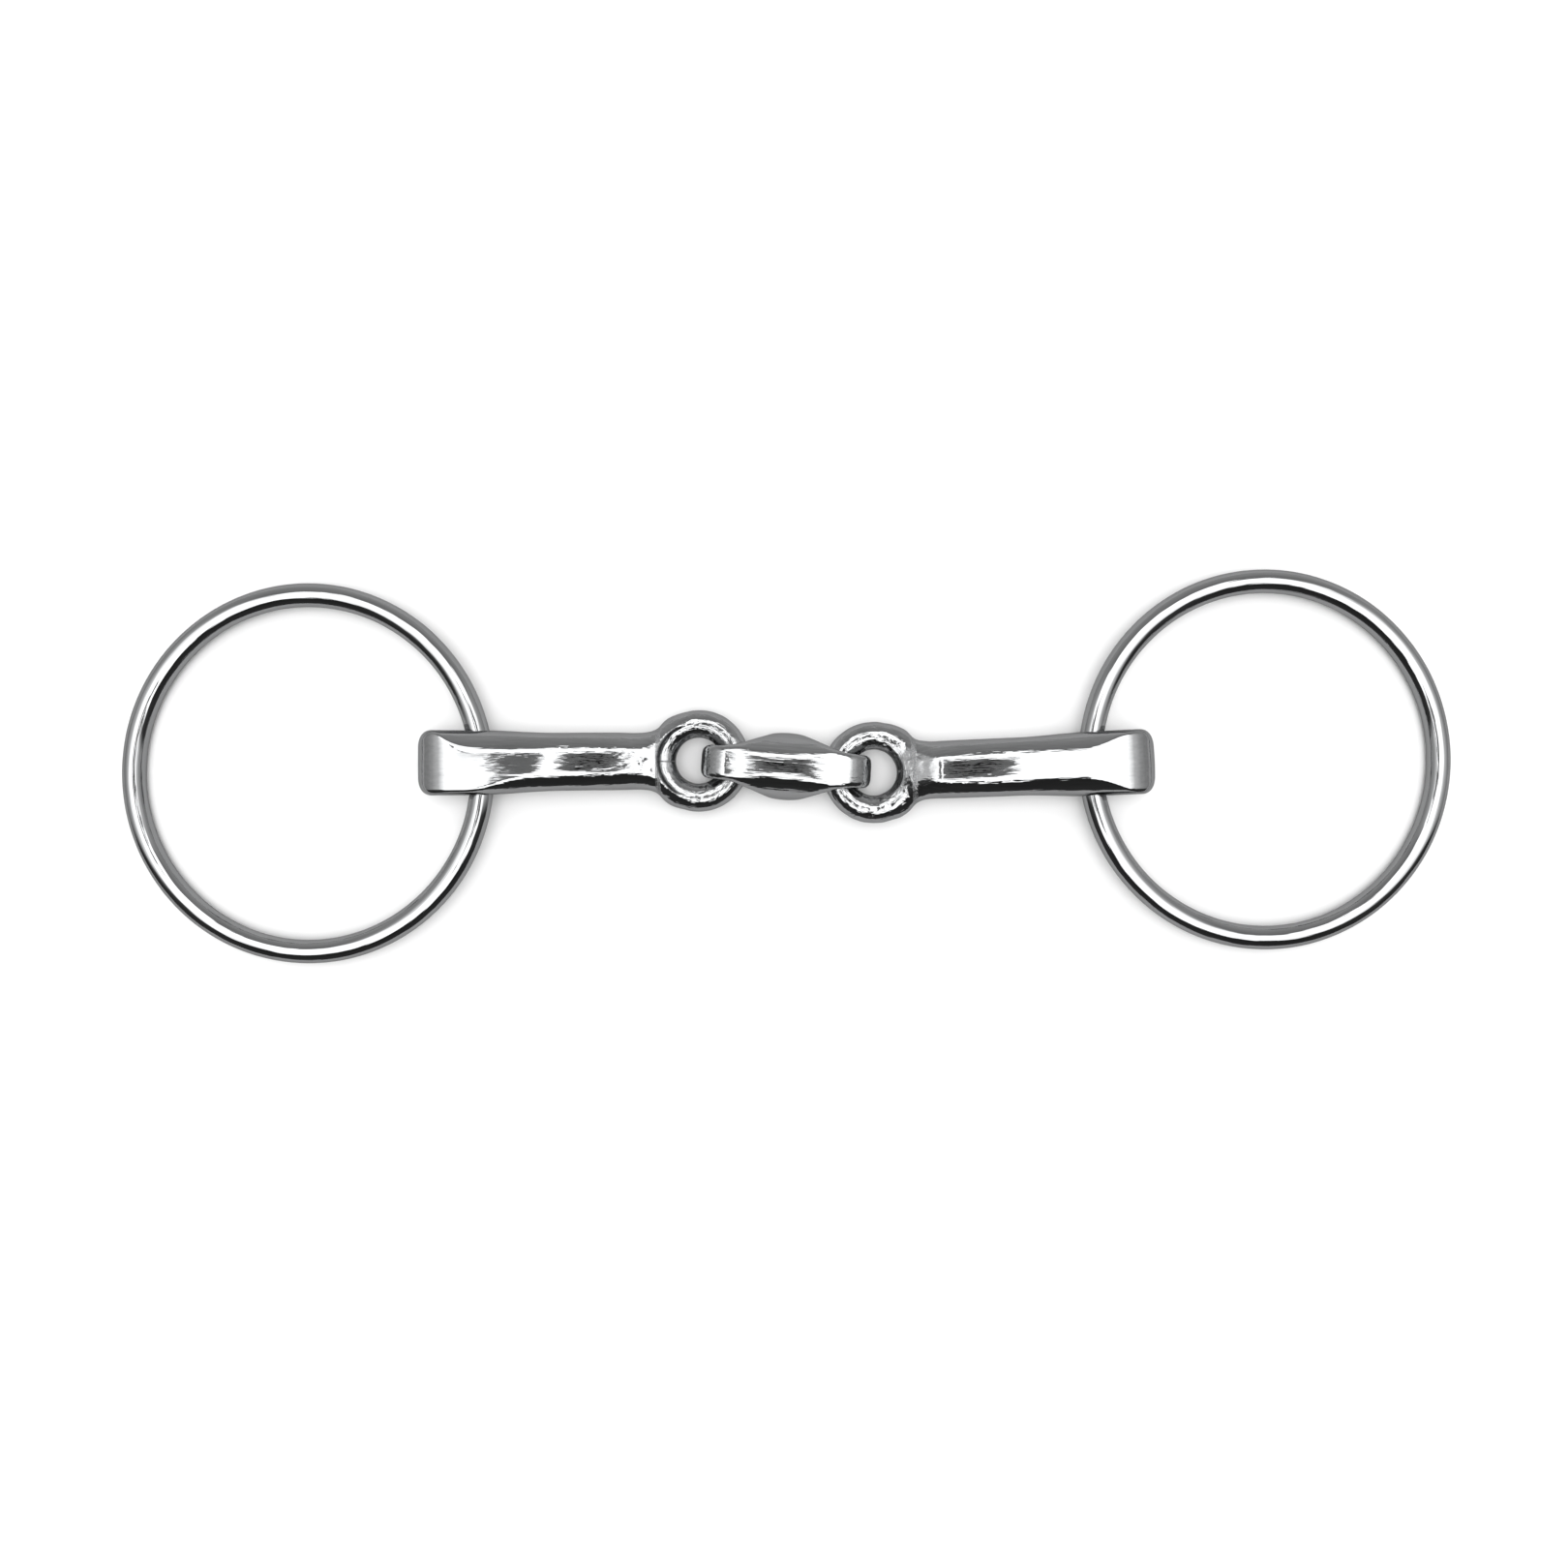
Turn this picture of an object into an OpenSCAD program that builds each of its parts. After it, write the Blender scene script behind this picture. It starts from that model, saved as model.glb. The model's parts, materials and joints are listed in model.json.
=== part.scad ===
// Loose-ring snaffle bit with two cannons and a lozenge-shaped centre link.
// Millimetres, +Z up. The bit lies flat on the plane Z = 0 with the centre
// link over the origin and the mouthpiece along X.

/* [Rings] */
// Diameter of the round ring wire
wire_d = 5.2; // [4:0.1:7]
// Clear diameter inside a ring
ring_inner_d = 71.8; // [58:0.1:90]

/* [Cannons] */
// Length of a cannon from the centre of its eye to the axis of its ring hole
cannon_len = 47.4; // [38:0.1:60]
// Width of a cannon between eye and butt
cannon_w = 12.4; // [10:0.1:15]
// Height of a cannon where it meets its eye
neck_h = 13; // [9:0.1:15]
// Width of the ground band along the top and the underside
band_w = 5.2; // [3:0.1:8]

/* [Butts] */
// Width of the butt end, which is the length of the ring hole
butt_w = 14; // [11:0.1:17]
// Height of the butt end
butt_h = 17; // [14:0.1:21]
// Distance from the axis of the ring hole to the tip of the butt
butt_reach = 12.9; // [9.5:0.1:15]
// Radius of the butt's upper and lower nose, seen from the side
nose_r = 6.4; // [3:0.1:6.8]
// Radius of the butt's corners, seen from above
butt_corner_r = 4; // [2:0.1:5]
// Diameter of the round form that breaks the butt's long edges
butt_round_d = 19.6; // [18:0.1:24]

/* [Eyes] */
// Diameter of the bar that an eye is bent from
eye_bar_d = 6.1; // [5:0.1:7.4]
// Diameter of the hole in an eye
eye_hole_d = 9.7; // [8:0.1:12]

/* [Centre link] */
// Overall length of the link
link_len = 36.6; // [30:0.1:46]
// Width of the link at its ends
link_end_w = 7.4; // [6:0.1:9]
// Width of the link at its middle
link_mid_w = 15.2; // [12:0.1:19]
// Width of the ground band along the link's top and underside
link_band_w = 4.8; // [3:0.1:7]
// Thickness of metal around each loop of the link
link_wall = 4.35; // [3:0.05:5.2]

/* [Fits] */
// Play of a ring's wire in its hole, across the diameter
ring_play = 2.6; // [1.6:0.1:4]
// Gap left between a ring's wire and the inner wall of its hole
ring_gap = 0.4; // [0.3:0.05:0.6]
// Clearance all round an eye's bar where the link turns on it
eye_play = 0.45; // [0.3:0.05:0.8]
// Extra radius of a link's loop over the eye's bar
loop_play = 1.1; // [0.8:0.05:2]

/* [Rest pose] */
// Turn of the centre link about Z
link_yaw = -3.8; // [-8:0.1:8]
// Turn of the left cannon about Z
left_cannon_yaw = 0.5; // [-8:0.1:8]
// Turn of the right cannon about Z
right_cannon_yaw = 2.3; // [-8:0.1:8]
// Turn of the left ring about Z
left_ring_yaw = 3.5; // [-5:0.1:5]
// Turn of the right ring about Z
right_ring_yaw = 1.4; // [-5:0.1:5]

/* [Hidden] */
$fn = 96;
steel = [0.78, 0.79, 0.80];

// Rings and ring holes
ring_mid_r = (ring_inner_d + wire_d) / 2;
ring_hole_d = wire_d + ring_play;
ring_push = ring_play / 2 - ring_gap;

// Eyes and the link's loops
eye_mid_r = (eye_hole_d + eye_bar_d) / 2;
eye_land = 0.05;
loop_r = eye_bar_d / 2 + loop_play;
link_end_r = loop_r + link_wall;
end_flat = 0.15;
loop_x = link_len / 2 - link_end_r + end_flat;
loop_seat = 0.3;
eye_x = loop_x + loop_r + loop_seat - eye_play + eye_hole_d / 2;

// Heights: link and butts both reach down to the plane they lie on
axis_z = max(butt_h / 2, link_end_r);
ring_tilt = asin((axis_z - wire_d / 2) / (2 * ring_mid_r - ring_push));

// Stations along a cannon, measured from the centre of its eye
flare_x = eye_mid_r - 0.7;
neck_x = eye_mid_r + 5;
crown_x = cannon_len - 10;
swell_x = cannon_len - 18;
tip_x = cannon_len + butt_reach;
spread_x = cannon_len + 8;
root_in = 1.5;
root_w = 2 * (eye_mid_r - 1.4);
root_h = eye_bar_d - 0.9;
flare_w = cannon_w + 4.4;
flare_power = 2.2;
overrun = 4;
link_spread = 13;
link_corner_r = 1.2;
steps = 8;
short_steps = 6;

// Smooth rise from 0 to 1 as t goes from 0 to 1
function ease(t) = (1 - cos(180 * min(max(t, 0), 1))) / 2;
// Points of an arc about c, from angle a to angle b
function arc(c, r, a, b, n = 8) =
    [for (i = [0:n]) c + r * [cos(a + (b - a) * i / n), sin(a + (b - a) * i / n)]];
// A closed outline made of an upper half and its mirror image below
function both_sides(upper) =
    concat(upper, [for (i = [len(upper) - 1:-1:0]) [upper[i][0], -upper[i][1]]]);
// Half height of a cannon at station x: a slope up from the eye, then a long crowned arc
function half_height(x) =
    x < neck_x
    ? root_h / 2 + (neck_h - root_h) / 2 * (x - flare_x) / (neck_x - flare_x)
    : butt_h / 2 - (butt_h - neck_h) / 2 * pow((crown_x - min(x, crown_x)) / (crown_x - neck_x), 2);
// Half width of a cannon at station x: a flare at the eye, a slim bar, a wider butt
function half_width(x) =
    x < neck_x
    ? cannon_w / 2 + (flare_w - cannon_w) / 2 * pow((neck_x - x) / (neck_x - flare_x), flare_power)
    : cannon_w / 2 + (butt_w - cannon_w) / 2 * ease((x - swell_x) / (cannon_len - swell_x));
// Radius of the form that rounds a cannon's long edges at station x
function round_r(x) =
    let (slim = norm([half_height(max(x, neck_x)), band_w / 2]))
    x < neck_x
    ? slim + (flare_w - slim) * (neck_x - x) / (neck_x - flare_x)
    : slim + (max(butt_round_d / 2, slim) - slim) * ease((x - cannon_len) / (spread_x - cannon_len));
// Evenly spaced stations from a to b
function stations(a, b, n = steps) = [for (i = [0:n]) a + (b - a) * i / n];
// Half width of the link at station x
function link_half_w(x) =
    link_end_w / 2 + (link_mid_w - link_end_w) / 2 * (1 - ease(abs(x) / link_spread));

// Outline of a cannon from above, with its root inside the eye's bar
module cannon_plan() {
    root = [flare_x - root_in, root_w / 2];
    flare = [for (x = stations(flare_x, neck_x, short_steps)) [x, half_width(x)]];
    swell = [for (x = stations(swell_x, cannon_len)) [x, half_width(x)]];
    corner = arc([tip_x - butt_corner_r, butt_w / 2 - butt_corner_r], butt_corner_r, 90, 0);
    polygon(both_sides(concat([root], flare, swell, corner)));
}

// Outline of a cannon from the side: root, crowned bar, then the round nose of the butt
module cannon_side() {
    root = [flare_x - 2 * root_in, root_h / 2];
    crown = [for (x = stations(neck_x, crown_x)) [x, half_height(x)]];
    nose = arc([tip_x - nose_r + end_flat, butt_h / 2 - nose_r], nose_r, 90, 0);
    polygon(both_sides(concat([root, [flare_x, root_h / 2]], crown, nose)));
}

// Turned form that leaves the ground band flat and rounds the flanks
module cannon_round() {
    inner = flare_x - overrun;
    outer = tip_x + overrun;
    slim = [for (x = stations(neck_x, cannon_len, short_steps)) [round_r(x), x]];
    spread = [for (i = [1:short_steps])
        let (x = cannon_len + (spread_x - cannon_len) * i / short_steps)
        [round_r(x), x]];
    rotate([0, 90, 0])
        rotate_extrude()
            polygon(concat([[0, inner], [flare_w, inner], [flare_w, flare_x]], slim, spread,
                [[butt_round_d / 2, outer], [0, outer]]));
}

// Neck, bar and butt of a cannon, kept outside the centre line of the eye's bar
module cannon_bar() {
    difference() {
        intersection() {
            linear_extrude(butt_h + 2, center = true) cannon_plan();
            rotate([90, 0, 0]) linear_extrude(2 * butt_w, center = true) cannon_side();
            cannon_round();
        }
        cylinder(h = 2 * butt_h, r = eye_mid_r, center = true);
    }
}

// Flat eye at the inner end of a cannon, with a narrow land around its hole
module eye() {
    difference() {
        rotate_extrude() translate([eye_mid_r, 0]) circle(d = eye_bar_d);
        cylinder(h = 2 * eye_bar_d, d = eye_hole_d + 2 * eye_land, center = true);
    }
}

// One cannon, lying along +X with the centre of its eye at the origin
module cannon() {
    difference() {
        union() {
            eye();
            cannon_bar();
        }
        translate([cannon_len, 0, 0])
            rotate([90, 0, 0]) cylinder(h = 2 * butt_w, d = ring_hole_d, center = true);
    }
}

// One ring, lying along +X from the axis of its hole at the origin
module ring() {
    rotate([0, ring_tilt, 0])
        translate([ring_mid_r - ring_push, 0, 0])
            rotate_extrude() translate([ring_mid_r, 0]) circle(d = wire_d);
}

// Outline of the link from above: a lozenge that runs out into square-set ends
module link_plan() {
    half = link_len / 2;
    middle = [for (i = [-steps:steps])
        let (x = link_spread * i / steps)
        [x, link_half_w(x)]];
    head = [half - link_corner_r, link_end_w / 2 - link_corner_r];
    right = arc(head, link_corner_r, 90, 0, 4);
    left = arc([-head[0], head[1]], link_corner_r, 180, 90, 4);
    polygon(both_sides(concat(left, middle, right)));
}

// Outline of the link from the side: a long oval
module link_side() {
    square([2 * loop_x, 2 * link_end_r], center = true);
    for (side = [-1, 1])
        translate([side * loop_x, 0]) circle(r = link_end_r);
}

// Turned form that rounds the link's flanks beside its ground bands
module link_round() {
    rotate([0, 90, 0])
        cylinder(h = 2 * link_len, r = norm([link_end_r, link_band_w / 2]), center = true);
}

// Room that an eye's bar needs as the eye turns in the link
module eye_track() {
    rotate_extrude() translate([eye_mid_r, 0]) circle(d = eye_bar_d + 2 * eye_play);
}

// The centre link about its own middle, with a loop for each eye
module link() {
    difference() {
        intersection() {
            linear_extrude(2 * link_end_r + 2, center = true) link_plan();
            rotate([90, 0, 0]) linear_extrude(2 * link_mid_w, center = true) link_side();
            link_round();
        }
        for (side = [-1, 1]) {
            translate([side * loop_x, 0, 0])
                rotate([90, 0, 0]) cylinder(h = 2 * link_mid_w, r = loop_r, center = true);
            translate([side * eye_x, 0, 0]) eye_track();
        }
    }
}

// Moves a child from the link's middle to the centre of one eye.
// side is -1 for the left eye and 1 for the right one.
module at_eye(side) {
    rotate([0, 0, link_yaw]) translate([side * eye_x, 0, axis_z]) rotate([0, 0, -link_yaw]) children();
}

// Points a child that lies along +X outwards on its own side
module outwards(side, yaw) {
    rotate([0, 0, side > 0 ? yaw : yaw + 180]) children();
}

// Cannon in its place
module placed_cannon(side, yaw) {
    at_eye(side) outwards(side, yaw) cannon();
}

// Ring in its place, through the hole of a cannon turned by cannon_yaw
module placed_ring(side, cannon_yaw, ring_yaw) {
    at_eye(side) outwards(side, cannon_yaw) translate([cannon_len, 0, 0])
        rotate([0, 0, ring_yaw - cannon_yaw]) ring();
}

module left_ring() {
    color(steel) placed_ring(-1, left_cannon_yaw, left_ring_yaw);
}

module left_cannon() {
    color(steel) placed_cannon(-1, left_cannon_yaw);
}

module centre_link() {
    color(steel) rotate([0, 0, link_yaw]) translate([0, 0, axis_z]) link();
}

module right_cannon() {
    color(steel) placed_cannon(1, right_cannon_yaw);
}

module right_ring() {
    color(steel) placed_ring(1, right_cannon_yaw, right_ring_yaw);
}

left_ring();
left_cannon();
centre_link();
right_cannon();
right_ring();
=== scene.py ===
import json
import math

import bpy
import numpy as np
from mathutils import Matrix, Vector


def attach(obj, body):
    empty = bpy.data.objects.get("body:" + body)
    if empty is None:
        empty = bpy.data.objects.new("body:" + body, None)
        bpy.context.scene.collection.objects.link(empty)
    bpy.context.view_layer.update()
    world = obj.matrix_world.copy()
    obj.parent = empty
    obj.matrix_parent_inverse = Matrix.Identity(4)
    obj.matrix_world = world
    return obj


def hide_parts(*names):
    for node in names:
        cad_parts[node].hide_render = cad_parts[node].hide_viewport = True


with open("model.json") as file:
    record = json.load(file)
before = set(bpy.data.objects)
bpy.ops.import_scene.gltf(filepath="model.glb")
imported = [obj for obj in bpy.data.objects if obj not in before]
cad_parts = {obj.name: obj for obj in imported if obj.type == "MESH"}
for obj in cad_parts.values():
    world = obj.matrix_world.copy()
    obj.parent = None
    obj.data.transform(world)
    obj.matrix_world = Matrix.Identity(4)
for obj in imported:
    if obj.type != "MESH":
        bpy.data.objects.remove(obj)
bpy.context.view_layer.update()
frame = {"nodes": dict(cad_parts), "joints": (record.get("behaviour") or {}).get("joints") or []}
mm = 0.001

slack = 0.9          # plain distances to a slope are a little too long, and this evens them out
waveStretch = 0.5    # the slow waves run longer along a bar than across it
barStretch = np.array([0.10, 1.0, 1.0])  # so polishing lines run along a bar


def jointNamed(name):
    return next(j for j in frame["joints"] if j["name"] == name)


def pivotOf(name):
    return Vector(jointNamed(name)["pos_m"])


def placeAlong(origin, target):
    # local +X from origin to target, both level, local +Z up
    along = (target - origin).xy.normalized()
    turn = Matrix.Rotation(math.atan2(along.y, along.x), 4, "Z")
    return Matrix.Translation(origin) @ turn


def smoothMax(a, b, k):
    # the larger of two distances, with a round of about k where they meet
    h = np.clip(0.5 + 0.5 * (a - b) / k, 0.0, 1.0)
    return b + (a - b) * h + k * h * (1.0 - h)


def smoothMin(a, b, k):
    return -smoothMax(-a, -b, k)


def ease(t):
    t = np.clip(t, 0.0, 1.0)
    return (1.0 - np.cos(np.pi * t)) / 2.0


def slopeOf(field, p, step=0.01):
    # gradient of a field at an array of points
    g = np.empty_like(p)
    for axis in range(3):
        d = np.zeros(3)
        d[axis] = step
        g[:, axis] = (field(*(p + d).T) - field(*(p - d).T)) / (2 * step)
    return g


def netFromField(field, low, high, cell, pulls=4):
    # one vertex per crossed cell and one quad per crossed grid edge,
    # then the vertices are pulled onto the surface
    axes = [np.arange(lo, hi + cell, cell) for lo, hi in zip(low, high)]
    grid = np.meshgrid(*axes, indexing="ij")
    values = field(*grid)
    inside = values < 0
    nx, ny, nz = values.shape
    corners = [(i, j, k) for i in (0, 1) for j in (0, 1) for k in (0, 1)]
    count = np.zeros((nx - 1, ny - 1, nz - 1), int)
    for i, j, k in corners:
        count += inside[i:nx - 1 + i, j:ny - 1 + j, k:nz - 1 + k]
    crossed = (count > 0) & (count < 8)
    cells = np.argwhere(crossed)
    number = np.full(crossed.shape, -1, int)
    number[tuple(cells.T)] = np.arange(len(cells))
    points = np.zeros((len(cells), 3))
    hits = np.zeros(len(cells))
    for a in corners:
        for axis in range(3):
            if a[axis]:
                continue
            b = list(a)
            b[axis] = 1
            va = values[tuple((cells + a).T)]
            vb = values[tuple((cells + b).T)]
            cut = (va < 0) != (vb < 0)
            t = np.where(cut, va / np.where(cut, va - vb, 1.0), 0.0)
            spot = np.repeat(np.array([a], float), len(cells), 0)
            spot[:, axis] += t
            points += spot * cut[:, None]
            hits += cut
    points = (cells + points / hits[:, None]) * cell + np.array(low)
    faces = []
    for axis in range(3):
        u, v = (axis + 1) % 3, (axis + 2) % 3
        size = list(values.shape)
        first = tuple(slice(0, size[n] - 1 if n == axis else size[n]) for n in range(3))
        second = tuple(slice(1 if n == axis else 0, size[n]) for n in range(3))
        edge = np.argwhere(inside[first] != inside[second])
        ahead = inside[first][tuple(edge.T)]
        quad = []
        for du, dv in ((-1, -1), (0, -1), (0, 0), (-1, 0)):
            c = edge.copy()
            c[:, u] += du
            c[:, v] += dv
            quad.append(number[tuple(c.T)])
        quad = np.stack(quad, 1)
        quad[~ahead] = quad[~ahead][:, ::-1]
        faces.append(quad)
    faces = np.concatenate(faces)
    for _ in range(pulls):
        g = slopeOf(field, points)
        points -= g * (field(*points.T) / np.maximum((g * g).sum(1), 1e-9))[:, None]
    normals = slopeOf(field, points)
    normals /= np.linalg.norm(normals, axis=1)[:, None]
    return points, faces, normals


def addMesh(name, points, faces, normals, grain, along, forged, lined, place):
    # points in local millimetres; grain is the direction that polishing lines keep to
    world = np.array(place)
    co = points * mm @ world[:3, :3].T + world[:3, 3]
    mesh = bpy.data.meshes.new(name)
    mesh.from_pydata(co.tolist(), [], faces.tolist())
    mesh.polygons.foreach_set("use_smooth", [True] * len(mesh.polygons))
    attribute = mesh.attributes.new("grain", "FLOAT_VECTOR", "POINT")
    attribute.data.foreach_set("vector", grain.astype(np.float32).ravel())
    for label, values in (("along", along), ("forged", forged), ("lined", lined)):
        attribute = mesh.attributes.new(label, "FLOAT", "POINT")
        attribute.data.foreach_set("value", values.astype(np.float32))
    mesh.update()
    mesh.normals_split_custom_set_from_vertices((normals @ world[:3, :3].T).tolist())
    piece = bpy.data.objects.new(name, mesh)
    bpy.context.scene.collection.objects.link(piece)
    return piece


def softWaves(seed, count, low, high, amount):
    # a sum of a few slow sine waves in any direction, to take the machine out of a surface
    rng = np.random.default_rng(seed)
    ways = rng.normal(size=(count, 3))
    ways /= np.linalg.norm(ways, axis=1)[:, None]
    lengths = rng.uniform(low, high, count)
    shifts = rng.uniform(0, 2 * np.pi, count)

    def wave(x, y, z):
        total = 0.0
        for way, length, shift in zip(ways, lengths, shifts):
            run = x * way[0] + y * way[1] + z * way[2]
            total = total + np.sin(run * 2 * np.pi / length + shift)
        return total * amount / math.sqrt(count)
    return wave


cannonSizes = {
    "eyeMid": 7.9,        # centre line of the eye's bar
    "eyeBar": 3.02,       # half thickness of the eye's bar
    "eyeSquare": 2.0,     # 2 is a round bar, more is a squarer one
    "neckAt": 12.9,       # station where the bar begins
    "crownAt": 37.4,      # station where the bar is at its full height
    "holeAt": 47.4,       # axis of the ring hole
    "tipAt": 60.25,       # end of the butt
    "crown": 30.0,        # radius of the ground band's slight rounding across
    "crownTo": 3.0,       # half width over which that rounding falls
    "slim": 6.2,          # half width of the bar
    "buttWide": 6.95,     # half width of the butt
    "buttHigh": 8.46,     # half height of the butt
    "swell": 18.0,        # length over which the bar widens into the butt
    "slabHigh": 2.5,      # half height of the flare beside the eye
    "slabBlend": 0.6,     # rounding between the flare and the fan
    "fanBlend": 0.5,      # rounding between the fan and the bar
    "droop": 0.02,        # fall of the fan towards its sides
    "droopAt": 11.0,      # station where that fall begins
    "droopRun": 4.0,      # length over which it grows, towards the eye
    "bodyFrom": 1.5,      # station where the body begins, inside the eye
    "rimLean": 0.15,      # lean of the step down from the neck to the eye
    "rimFrom": 3.0,       # height above which the step leans
    "rimEdge": 0.5,       # rounding along the step
    "band": 2.6,          # half width of the ground band
    "bandPower": 1.5,     # how late the band spreads over the butt
    "neckSlack": 0.1,     # how far the flanks may fall below the neck's height
    "neckPast": 1.0,      # how far past the neck the flare and the dents end
    "roughRun": 4.0,      # length over which the dents fade
    "nose": 8.5,          # length of the nose's round, seen from the side
    "noseHigh": 7.2,      # and its height
    "corner": 3.9,        # corner radius seen from above
    "buttBand": 6.1,      # half width of the ground face at the butt
    "hole": 3.9,          # radius of the ring hole
    "holeEdge": 0.7,      # rounding at the mouth of the ring hole
    "edge": 0.3,          # rounding along the ground band
    "sideEdge": 1.5,      # rounding where the flanks meet the sides
    "hollow": 0.8,        # soft hollow where the neck meets the eye
    "roundAt": 8.8,       # station where the polishing lines turn to run round the eye
    "roundRun": 0.8,      # length over which they turn
    "roundTurn": 2.2,     # how fast those lines change round the eye
    "roundScale": 1.4,    # and across its bar
    "roundShift": 40.0,   # keeps them apart from the lines along the bar
    "forgedRun": 3.0,     # length over which the forged look fades
    "smoothAt": 43.0,     # station where the smoother polish of the butt begins
    "smoothRun": 6.0,     # length over which it comes in
    "smoothBy": 0.85,     # share of the lines that it takes away
    "cell": 0.36,         # mesh size
    "inset": 0.03,        # kept inside the nominal surface
}

# the two cannons are finished by hand, so each has its own slopes and dents:
# depth of the dents, which flank is the upper one, half height of the neck, fall of the fan,
# radius of the step to the eye, and the stations between which the band spreads on each flank
cannonFinish = {
    "left": {"seed": 11, "dents": 0.014, "mirror": -1,
             "neckHigh": 6.5, "fanSlope": 0.18, "rim": 8.2,
             "spreadUp": (45.0, 57.5), "spreadDown": (29.0, 50.0)},
    "right": {"seed": 24, "dents": 0.028, "mirror": 1,
              "neckHigh": 6.8, "fanSlope": 0.44, "rim": 5.9,
              "spreadUp": (41.0, 55.0), "spreadDown": (42.0, 56.0)},
}

# outline of the flare seen from above: station from the eye's centre, half width
flareOutline = ((1.0, 9.6), (3.5, 9.9), (5.5, 9.7), (7.4, 8.55),
                (8.6, 7.25), (10.0, 6.55), (11.6, 6.27), (13.4, 6.2))


def curveThrough(points, x):
    # smooth curve through a few points, level beyond both ends
    station, value = np.array(points).T
    slope = np.gradient(value, station)
    slope[0] = slope[-1] = 0.0
    x = np.clip(x, station[0], station[-1])
    n = np.clip(np.searchsorted(station, x) - 1, 0, len(station) - 2)
    width = station[n + 1] - station[n]
    t = (x - station[n]) / width
    a = (1 + 2 * t) * (1 - t) ** 2
    b = t * (1 - t) ** 2
    c = t * t * (3 - 2 * t)
    d = t * t * (t - 1)
    return a * value[n] + b * width * slope[n] + c * value[n + 1] + d * width * slope[n + 1]


def cannonField(finish):
    s = cannonSizes
    wave = softWaves(finish["seed"], count=14, low=1.6, high=4.5, amount=finish["dents"])
    slow = softWaves(finish["seed"] + 50, count=5, low=9.0, high=16.0, amount=0.03)

    def field(x, y, z):
        ay, az = np.abs(y), np.abs(z)
        rho = np.sqrt(x * x + y * y)
        # height: a fan up from the eye, then a long crowned arc
        rise = np.clip((s["crownAt"] - x) / (s["crownAt"] - s["neckAt"]), 0.0, None)
        crown = s["buttHigh"] - (s["buttHigh"] - finish["neckHigh"]) * rise ** 2
        fan = finish["neckHigh"] - finish["fanSlope"] * (s["neckAt"] - x)
        fan = fan - s["droop"] * y * y * ease((s["droopAt"] - x) / s["droopRun"])
        fan = smoothMax(s["slabHigh"] + 0 * x, fan, s["slabBlend"])
        high = smoothMin(crown, fan, s["fanBlend"])
        high = high - np.minimum(ay, s["crownTo"]) ** 2 / (2 * s["crown"])
        # width: flare, slim bar, butt
        wide = curveThrough(flareOutline, x)
        swell = ease((x - s["holeAt"] + s["swell"]) / s["swell"])
        wide = wide + (s["buttWide"] - s["slim"]) * swell
        # side outline with its round nose, plan outline with round corners
        over = np.maximum(x - (s["tipAt"] - s["nose"]), 0.0) / s["nose"]
        up = np.maximum(az - (high - s["noseHigh"]), 0.0) / s["noseHigh"]
        nose = (np.hypot(over, up) - 1.0) * s["noseHigh"]
        side = np.where(over > 0, nose, (az - high) * slack)
        out = x - (s["tipAt"] - s["corner"])
        across = ay - (wide - s["corner"])
        corner = np.hypot(np.maximum(out, 0), np.maximum(across, 0)) - s["corner"]
        plan = np.where(out > 0, corner, ay - wide)
        # flanks: round beside the band, and the band spreads over the butt
        upper = y * finish["mirror"] > 0
        start = np.where(upper, finish["spreadUp"][0], finish["spreadDown"][0])
        end = np.where(upper, finish["spreadUp"][1], finish["spreadDown"][1])
        spread = ease((x - start) / (end - start)) ** s["bandPower"]
        band = s["band"] + (s["buttBand"] - s["band"]) * spread
        full = np.maximum(high, finish["neckHigh"] - s["neckSlack"])
        a = np.sqrt(full ** 2 + band ** 2)
        b = a * high / full
        flared = x < s["neckAt"] + s["neckPast"]
        shift = np.maximum(ay - (wide - s["slim"]) * flared, 0.0)
        lean = np.sqrt((shift / a ** 2) ** 2 + (z / b ** 2) ** 2) + 1e-6
        flank = ((shift / a) ** 2 + (z / b) ** 2 - 1.0) / (2.0 * lean)
        body = smoothMax(smoothMax(side, flank, s["edge"]), plan, s["sideEdge"])
        step = finish["rim"] + s["rimLean"] * np.maximum(az - s["rimFrom"], 0.0) - rho
        body = smoothMax(np.maximum(body, s["bodyFrom"] - x), step, s["rimEdge"])
        # the eye, joined to the neck with a soft hollow
        square = s["eyeSquare"]
        eye = np.abs(rho - s["eyeMid"]) ** square + az ** square + 1e-9
        eye = eye ** (1 / square) - s["eyeBar"]
        whole = smoothMin(body, eye, s["hollow"])
        hole = s["hole"] - np.hypot(x - s["holeAt"], z)
        whole = smoothMax(whole, hole, s["holeEdge"])
        rough = np.clip((s["neckAt"] + s["neckPast"] - x) / s["roughRun"], 0.0, 1.0)
        return whole + rough * wave(x, y, z) + slow(x * waveStretch, y, z) + s["inset"]
    return field


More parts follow.
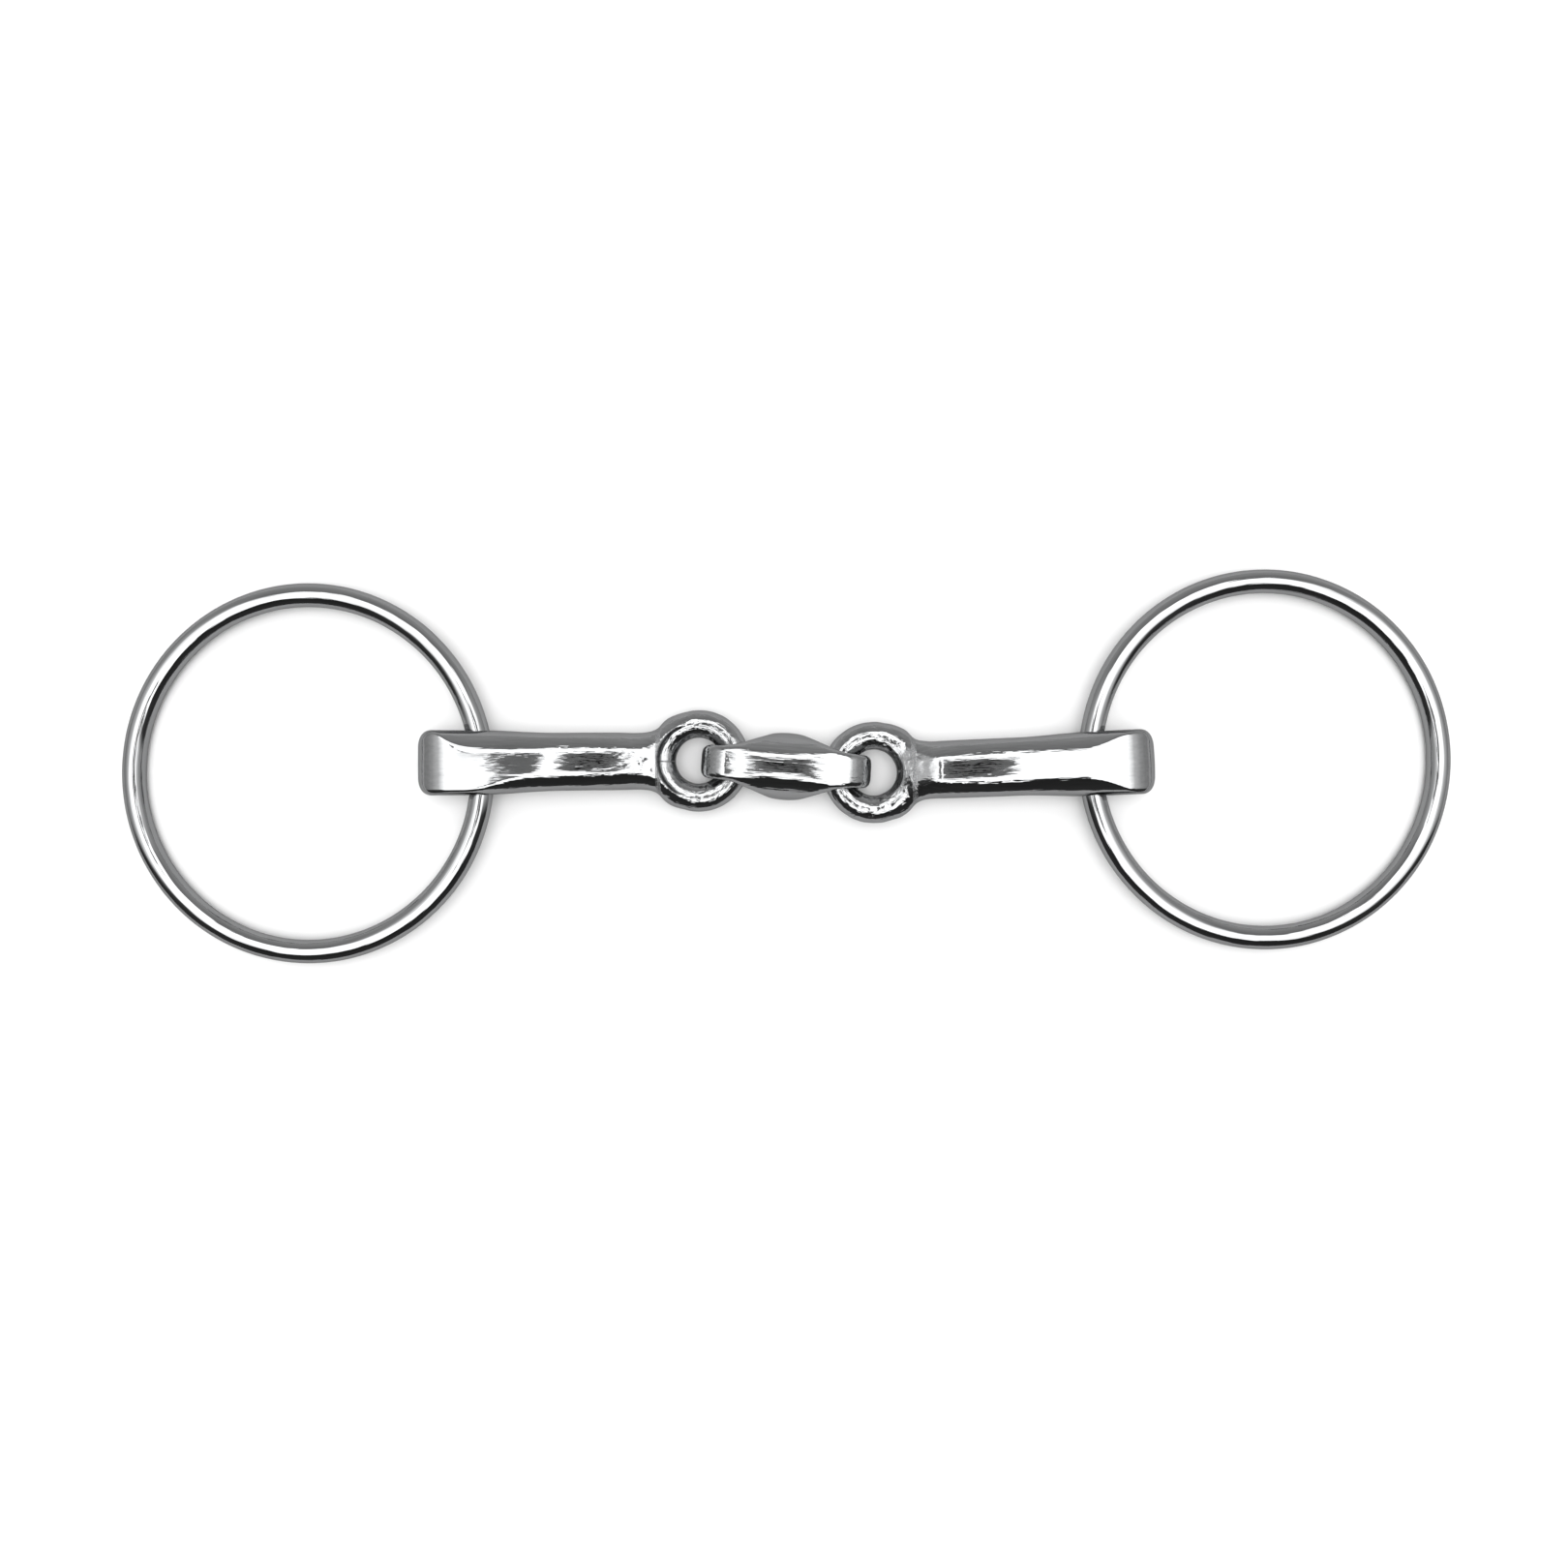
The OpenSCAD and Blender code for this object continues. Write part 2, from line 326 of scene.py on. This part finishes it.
def buildCannon(name, place, finish):
    s = cannonSizes
    eyeOut = s["eyeMid"] + s["eyeBar"]
    low = (-eyeOut - 1.1, -eyeOut - 1.6, -s["buttHigh"] - 1.0)
    high = (s["tipAt"] + 1.1, eyeOut + 1.6, s["buttHigh"] + 1.0)
    points, faces, normals = netFromField(cannonField(finish), low, high, s["cell"])
    # lines run along the bar, and round the eye
    rho = np.hypot(points[:, 0], points[:, 1])
    turnIn = (s["roundAt"] - np.minimum(points[:, 0], rho)) / s["roundRun"]
    turnIn = np.clip(turnIn, 0.0, 1.0)[:, None]
    barGrain = points * barStretch
    turned = np.arctan2(points[:, 1], -points[:, 0]) * s["roundTurn"]
    outward = rho * s["roundScale"] + s["roundShift"]
    eyeGrain = np.stack([turned, outward, points[:, 2] * s["roundScale"]], 1)
    grain = barGrain * (1 - turnIn) + eyeGrain * turnIn
    along = np.full(len(points), float(finish["seed"]))
    forged = np.clip((s["neckAt"] - points[:, 0]) / s["forgedRun"], 0.0, 1.0)
    # the butt is polished smoother than the bar
    lined = 1.0 - s["smoothBy"] * ease((points[:, 0] - s["smoothAt"]) / s["smoothRun"])
    piece = addMesh(name, points, faces, normals, grain, along, forged, lined, place)
    print(name, len(points), "points")
    return piece


linkSizes = {
    "half": 18.3,         # half length
    "high": 8.5,          # half height, also the radius of the round ends
    "endWide": 3.7,       # half width at the ends
    "midWide": 7.6,       # half width at the middle
    "spread": 14.5,       # how far the lozenge runs out along the link
    "nose": 5.6,          # nose radius of the ends seen from the side
    "band": 2.25,         # half width of the ground band
    "crown": 30.0,        # radius of the band's slight rounding across
    "crownTo": 3.0,       # half width over which that rounding falls
    "topIn": 0.06,        # how far the flanks start below the top of the band
    "arch": 134.0,        # radius of the long arch over the link
    "archAt": -1.7,       # highest point of the arch
    "loop": 4.15,         # radius of a loop
    "loopIn": 0.15,       # how far a loop's axis lies beyond the middle of the round end
    "flareBy": 0.05,      # how fast a loop opens towards its mouths
    "flareFrom": 0.6,     # half width over which it stays straight
    "eyeAt": 18.8,        # middle of an eye
    "eyeRoom": 3.4,       # half thickness of the room for an eye's bar
    "edge": 0.3,          # rounding along the ground band and at the ends
    "sideEdge": 1.3,      # rounding along the lozenge's sides
    "endEdge": 2.4,       # rounding of the ends seen from above
    "endIn": 0.1,         # how far that rounding is cut in
    "loopEdge": 0.8,      # rounding at the mouth of a loop
    "roomEdge": 0.6,      # rounding of the room for an eye
    "forgedAt": 11.0,     # station where the forged look begins
    "forgedRun": 5.0,     # length over which it comes in
    "forgedShare": 0.25,  # how strong it gets
    "cell": 0.3,          # mesh size
    "margin": 1.1,        # room round the link in the grid
    "inset": 0.02,        # kept inside the nominal surface
}


def linkField(seed):
    s = linkSizes
    slow = softWaves(seed, count=5, low=8.0, high=14.0, amount=0.03)
    loopAt = s["half"] - s["high"] + s["loopIn"]
    top = s["high"] - s["band"] ** 2 / (2 * s["crown"]) - s["topIn"]
    oval = top / math.sqrt(1.0 - (s["band"] / s["midWide"]) ** 2)

    def field(x, y, z):
        ax, ay, az = np.abs(x), np.abs(y), np.abs(z)
        run = 1.0 - ease(ax / s["spread"])
        wide = s["endWide"] + (s["midWide"] - s["endWide"]) * run
        lean = np.sqrt((y / s["midWide"] ** 2) ** 2 + (z / oval ** 2) ** 2) + 1e-6
        flank = ((y / s["midWide"]) ** 2 + (z / oval) ** 2 - 1.0) / (2.0 * lean)
        ends = ax - s["half"]
        arch = (x - s["archAt"]) ** 2 / (2 * s["arch"])
        arch = arch + np.minimum(ay, s["crownTo"]) ** 2 / (2 * s["crown"])
        over = np.maximum(ax - (s["half"] - s["nose"]), 0.0)
        up = az + arch - (s["high"] - s["nose"])
        nose = np.hypot(over, np.maximum(up, 0.0)) - s["nose"]
        side = np.where(over > 0, nose, az + arch - s["high"])
        body = smoothMax(side, flank, s["edge"])
        body = smoothMax(body, (ay - wide) * slack, s["sideEdge"])
        body = smoothMax(body, ends, s["edge"])
        rounding = smoothMax(ax - s["half"] + s["endIn"], ay - wide + s["endIn"], s["endEdge"])
        body = smoothMax(body, rounding, s["edge"])
        # each loop opens a little towards its mouths, and leaves room for the eye's curved bar
        flare = s["loop"] + s["flareBy"] * np.maximum(ay - s["flareFrom"], 0.0) ** 2.0
        loop = flare - np.hypot(ax - loopAt, z)
        body = smoothMax(body, loop, s["loopEdge"])
        rho = np.hypot(ax - s["eyeAt"], y)
        room = s["eyeRoom"] - np.hypot(rho - cannonSizes["eyeMid"], z)
        body = smoothMax(body, room, s["roomEdge"])
        return body + slow(x * waveStretch, y, z) + s["inset"]
    return field


def buildLink(name, place, seed):
    s = linkSizes
    room = s["margin"]
    low = (-s["half"] - room, -s["midWide"] - room, -s["high"] - room)
    high = (s["half"] + room, s["midWide"] + room, s["high"] + room)
    points, faces, normals = netFromField(linkField(seed), low, high, s["cell"])
    grain = points * barStretch
    forged = np.clip((np.abs(points[:, 0]) - s["forgedAt"]) / s["forgedRun"], 0.0, 1.0)
    forged = forged * s["forgedShare"]
    along = np.full(len(points), float(seed))
    piece = addMesh(name, points, faces, normals, grain, along, forged, np.ones(len(points)), place)
    print(name, len(points), "points")
    return piece


ringSizes = {
    "mid": 38.5,          # radius of the wire's centre line
    "wire": 2.6,          # half thickness of the wire
    "around": 420,        # steps round the ring
    "across": 40,         # steps round the wire
    # waves round the ring and how high they are, since no bent wire is quite round
    "outOfRound": ((2, 0.012), (3, 0.014), (5, 0.012), (8, 0.010), (13, 0.008)),
    "lineTurn": 2.2,      # how fast the polishing lines change round the ring
}


def buildRing(name, node, hole, seed):
    s = ringSizes
    # the ring's middle and plane are read from the CAD ring itself,
    # and its start from the hole that it runs through
    co = np.array([v.co for v in frame["nodes"][node].data.vertices])
    middle = (co.min(0) + co.max(0)) / 2
    ways = np.linalg.eigh(np.cov((co - co.mean(0)).T))[1]
    up = ways[:, 0] * (1 if ways[2, 0] > 0 else -1)
    inward = np.array(hole) - middle
    inward -= up * inward.dot(up)
    inward /= np.linalg.norm(inward)
    rng = np.random.default_rng(seed)
    u = np.linspace(0, 2 * np.pi, s["around"], endpoint=False)
    v = np.linspace(0, 2 * np.pi, s["across"], endpoint=False)
    around, across = np.meshgrid(u, v, indexing="ij")
    thick = np.full_like(around, s["wire"])
    for n, amount in s["outOfRound"]:
        a, b = rng.uniform(0, 2 * np.pi, 2)
        thick += amount * (np.sin(n * around + a) * np.cos(2 * across + b) - 1.0)
    rho = s["mid"] + thick * np.cos(across)
    points = np.stack([rho * np.cos(around), rho * np.sin(around), thick * np.sin(across)], -1)
    points = points.reshape(-1, 3)
    nextAround = np.roll(np.arange(s["around"]), -1)
    nextAcross = np.roll(np.arange(s["across"]), -1)
    a = np.arange(s["around"])[:, None] * s["across"] + np.arange(s["across"])[None]
    faces = np.stack([a, a[nextAround], a[nextAround][:, nextAcross], a[:, nextAcross]], -1)
    faces = faces.reshape(-1, 4)
    grid = points.reshape(s["around"], s["across"], 3)
    du = np.roll(grid, -1, 0) - np.roll(grid, 1, 0)
    dv = np.roll(grid, -1, 1) - np.roll(grid, 1, 1)
    normals = np.cross(du, dv).reshape(-1, 3)
    normals /= np.linalg.norm(normals, axis=1)[:, None]
    side = np.cross(up, inward)
    turn = np.stack([inward, side, up], 1)
    place = Matrix.Translation(Vector(middle)) @ Matrix(turn.tolist()).to_4x4()
    lineAt = s["lineTurn"] * np.cos(around)
    grain = np.stack([s["wire"] * np.cos(across), s["wire"] * np.sin(across), lineAt], -1)
    along = (s["lineTurn"] * np.sin(around) + seed).ravel()
    piece = addMesh(name, points, faces, normals, grain.reshape(-1, 3), along,
                    np.zeros(len(points)), np.ones(len(points)), place)
    print(name, len(points), "points")
    return piece


steelTones = {
    "light": (0.49, 0.495, 0.50, 1),
    "dark": (0.43, 0.435, 0.44, 1),
    "edge": (0.62, 0.62, 0.62, 1),
}

# line and mark scales per millimetre, depths in millimetres, smooth and dull are roughness
steelLooks = {
    "ring": {"lineScale": 1.5, "lineDepth": 0.05, "hazeScale": 0.8,
             "markScale": 0.9, "markDepth": 0.0, "smooth": 0.04, "dull": 0.10},
    "cannon": {"lineScale": 1.6, "lineDepth": 0.08, "hazeScale": 0.6,
               "markScale": 0.5, "markDepth": 0.05, "smooth": 0.035, "dull": 0.09},
    "link": {"lineScale": 1.6, "lineDepth": 0.08, "hazeScale": 0.6,
             "markScale": 0.9, "markDepth": 0.06, "smooth": 0.035, "dull": 0.08},
}


def polishedSteel(name, look):
    material = bpy.data.materials.new(name)
    material.use_nodes = True
    nodes, links = material.node_tree.nodes, material.node_tree.links
    shader = nodes["Principled BSDF"]
    shader.inputs["Metallic"].default_value = 1.0
    shader.inputs["Specular Tint"].default_value = steelTones["edge"]
    grain = nodes.new("ShaderNodeAttribute")
    grain.attribute_name = "grain"
    along = nodes.new("ShaderNodeAttribute")
    along.attribute_name = "along"

    def noise(scale, detail, rough):
        n = nodes.new("ShaderNodeTexNoise")
        n.noise_dimensions = "4D"
        n.inputs["Scale"].default_value = scale
        n.inputs["Detail"].default_value = detail
        n.inputs["Roughness"].default_value = rough
        links.new(grain.outputs["Vector"], n.inputs["Vector"])
        links.new(along.outputs["Fac"], n.inputs["W"])
        return n.outputs["Fac"]

    def masked(source, label):
        mask = nodes.new("ShaderNodeAttribute")
        mask.attribute_name = label
        n = nodes.new("ShaderNodeMath")
        n.operation = "MULTIPLY"
        links.new(source, n.inputs[0])
        links.new(mask.outputs["Fac"], n.inputs[1])
        return n.outputs["Value"]

    def ramp(source, low, high, start=0.3, end=0.7):
        n = nodes.new("ShaderNodeMapRange")
        n.inputs["From Min"].default_value = start
        n.inputs["From Max"].default_value = end
        n.inputs["To Min"].default_value = low
        n.inputs["To Max"].default_value = high
        links.new(source, n.inputs["Value"])
        return n.outputs["Result"]

    lines = noise(look["lineScale"], detail=2.0, rough=0.5)
    hazes = noise(look["hazeScale"], detail=3.0, rough=0.6)
    links.new(ramp(hazes, look["smooth"], look["dull"]), shader.inputs["Roughness"])
    tone = nodes.new("ShaderNodeMix")
    tone.data_type = "RGBA"
    tone.inputs["A"].default_value = steelTones["dark"]
    tone.inputs["B"].default_value = steelTones["light"]
    links.new(ramp(lines, 0.0, 1.0), tone.inputs["Factor"])
    links.new(tone.outputs["Result"], shader.inputs["Base Color"])
    bump = nodes.new("ShaderNodeBump")
    bump.inputs["Strength"].default_value = 1.0
    bump.inputs["Distance"].default_value = look["lineDepth"] * mm
    links.new(masked(lines, "lined"), bump.inputs["Height"])
    # hammer and file marks, only where the piece was forged
    place = nodes.new("ShaderNodeTexCoord")
    marks = nodes.new("ShaderNodeTexNoise")
    marks.inputs["Scale"].default_value = look["markScale"] / mm
    marks.inputs["Detail"].default_value = 1.0
    marks.inputs["Distortion"].default_value = 0.6
    links.new(place.outputs["Object"], marks.inputs["Vector"])
    sparse = ramp(marks.outputs["Fac"], 0.0, 1.0, start=0.50, end=0.75)
    dents = nodes.new("ShaderNodeBump")
    dents.inputs["Strength"].default_value = 1.0
    dents.inputs["Distance"].default_value = look["markDepth"] * mm
    links.new(masked(sparse, "forged"), dents.inputs["Height"])
    links.new(bump.outputs["Normal"], dents.inputs["Normal"])
    links.new(dents.outputs["Normal"], shader.inputs["Normal"])
    return material


def finishPiece(piece, node, body, material):
    piece.data.materials.append(material)
    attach(piece, body)
    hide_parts(node)


ringSteel = polishedSteel("ring_steel", steelLooks["ring"])
cannonSteel = polishedSteel("mouthpiece_steel", steelLooks["cannon"])
linkSteel = polishedSteel("link_steel", steelLooks["link"])

linkMiddle = (pivotOf("left_cannon_fold") + pivotOf("right_cannon_fold")) / 2
link = buildLink("lozenge_link", placeAlong(linkMiddle, pivotOf("right_cannon_fold")), seed=3)
finishPiece(link, "centre_link", "centre_link", linkSteel)

for side, finish in cannonFinish.items():
    eye, hole = pivotOf(side + "_cannon_fold"), pivotOf(side + "_ring_swing")
    cannon = buildCannon(side + "_mouthpiece", placeAlong(eye, hole), finish)
    finishPiece(cannon, side + "_cannon", side + "_cannon", cannonSteel)
    ring = buildRing(side + "_wire_ring", side + "_ring", hole, finish["seed"])
    finishPiece(ring, side + "_ring", side + "_ring", ringSteel)

studio = {
    "cameraHigh": 0.400, "cameraBack": 0.0033, "cameraLeft": 0.0005, "lens": 41.9,
    "keyHigh": 1.2, "keyWide": 0.55, "keyPower": 6.0,
    "ceiling": 2.5,       # brightness overhead
    "backdrop": 0.95,     # brightness of the backdrop itself
    "floorWide": 4.0, "floorTone": 0.86,
    "underFloor": 0.0001,  # gap below the rings
    # brightness at each height, as a share of the ceiling:
    # crisp towards the sides, soft towards the ends
    "sides": ((0.0, 0.19), (0.30, 0.16), (0.70, 0.12), (0.80, 0.11), (0.825, 1.0)),
    "ends": ((0.0, 0.15), (0.25, 0.16), (0.50, 0.22), (0.74, 0.38), (0.91, 0.97)),
    # where the brightness of the ends comes in and where it holds, as a direction leans to them
    "endsFrom": (0.5, 0.9),
    # where the dark of the near side starts and ends, and its least brightness
    "nearDark": (-0.28, -0.16), "nearBelow": (0.82, 0.79), "nearLeast": 0.10,
}

# tone, place across, width, depth and height of each card that the steel mirrors
cards = {
    "grey_card": (0.22, 0.005, 0.110, 0.21, 0.430),
    "black_card": (0.01, 0.005, 0.060, 0.040, 0.420),
    "left_card": (0.22, -0.109, 0.052, 0.21, 0.430),
    # the floor card is painted shade: a grey sheet seen only in the steel's reflections, standing
    # in for the floor's shadow round the bit
    "floor_shade_card": (0.40, 0.0, 4.0, 4.0, -studio["underFloor"] / 2),
}


def plainMaterial(name, value):
    material = bpy.data.materials.new(name)
    material.use_nodes = True
    shader = material.node_tree.nodes["Principled BSDF"]
    shader.inputs["Base Color"].default_value = (value, value, value, 1)
    shader.inputs["Roughness"].default_value = 0.9
    shader.inputs["Specular IOR Level"].default_value = 0.1
    return material


def buildStage():
    bpy.ops.mesh.primitive_plane_add(size=studio["floorWide"])
    floor = bpy.context.object
    floor.name = "pale_floor"
    floor.data.materials.append(plainMaterial("pale_floor", studio["floorTone"]))
    floor.location.z = -studio["underFloor"]
    # cards just above the camera give polished steel its dark streaks,
    # and a grey one on the floor is painted shade: seen only in reflections, it greys the flanks as
    # the floor's shadow would
    for name, (tone, aside, wide, deep, high) in cards.items():
        spot = (aside, -studio["cameraBack"], high)
        bpy.ops.mesh.primitive_plane_add(size=1.0, location=spot)
        card = bpy.context.object
        card.name = name
        card.scale = (wide, deep, 1)
        card.data.materials.append(plainMaterial(name, tone))
        card.visible_camera = False
        card.visible_shadow = False
        card.visible_diffuse = False


def buildKey():
    lamp = bpy.data.lights.new("key", "AREA")
    lamp.shape = "DISK"
    lamp.size = studio["keyWide"]
    lamp.energy = studio["keyPower"]
    key = bpy.data.objects.new("key", lamp)
    key.location = (0, 0, studio["keyHigh"])
    key.visible_glossy = False
    bpy.context.scene.collection.objects.link(key)


def buildRoom():
    world = bpy.data.worlds.new("studio")
    bpy.context.scene.world = world
    world.use_nodes = True
    nodes, links = world.node_tree.nodes, world.node_tree.links
    background = nodes["Background"]
    background.inputs["Color"].default_value = (1, 1, 1, 1)
    where = nodes.new("ShaderNodeTexCoord")
    split = nodes.new("ShaderNodeSeparateXYZ")
    links.new(where.outputs["Generated"], split.inputs["Vector"])

    def feed(socket, value):
        if isinstance(value, (int, float)):
            socket.default_value = value
        else:
            links.new(value, socket)

    def maths(operation, a, b):
        n = nodes.new("ShaderNodeMath")
        n.operation = operation
        feed(n.inputs[0], a)
        feed(n.inputs[1], b)
        return n.outputs["Value"]

    def remap(source, a, b):
        n = nodes.new("ShaderNodeMapRange")
        n.inputs["From Min"].default_value = a
        n.inputs["From Max"].default_value = b
        links.new(source, n.inputs["Value"])
        return n.outputs["Result"]

    def ramp(source, stops):
        n = nodes.new("ShaderNodeValToRGB")
        while len(n.color_ramp.elements) < len(stops):
            n.color_ramp.elements.new(0.5)
        for element, (at, value) in zip(n.color_ramp.elements, stops):
            element.position = at
            element.color = (value, value, value, 1)
        links.new(source, n.inputs["Fac"])
        return n.outputs["Color"]

    def mixed(factor, a, b):
        n = nodes.new("ShaderNodeMix")
        feed(n.inputs["Factor"], factor)
        feed(n.inputs["A"], a)
        feed(n.inputs["B"], b)
        return n.outputs["Result"]

    height = split.outputs["Z"]
    sides = ramp(height, studio["sides"])
    ends = ramp(height, studio["ends"])
    level = maths("SUBTRACT", 1.0, maths("MULTIPLY", height, height))
    sideways = maths("MULTIPLY", split.outputs["X"], split.outputs["X"])
    share = maths("DIVIDE", sideways, maths("ADD", level, 0.001))
    room = mixed(remap(share, *studio["endsFrom"]), sides, ends)
    # the near side is dark below the ceiling
    near = remap(split.outputs["Y"], *studio["nearDark"])
    below = remap(height, *studio["nearBelow"])
    shade = maths("SUBTRACT", 1.0, maths("MULTIPLY", below, maths("SUBTRACT", 1.0, near)))
    shade = maths("MAXIMUM", shade, studio["nearLeast"])
    light = maths("MULTIPLY", maths("MULTIPLY", room, shade), studio["ceiling"])
    path = nodes.new("ShaderNodeLightPath")
    strength = mixed(path.outputs["Is Camera Ray"], light, studio["backdrop"])
    links.new(strength, background.inputs["Strength"])


def buildCamera():
    lens = bpy.data.cameras.new("camera")
    lens.lens = studio["lens"]
    lens.sensor_width = 36.0
    camera = bpy.data.objects.new("camera", lens)
    camera.location = (-studio["cameraLeft"], -studio["cameraBack"], studio["cameraHigh"])
    bpy.context.scene.collection.objects.link(camera)
    bpy.context.scene.camera = camera


buildStage()
buildKey()
buildRoom()
buildCamera()
bpy.context.scene.view_settings.view_transform = "Standard"
print("stage, light and camera placed")
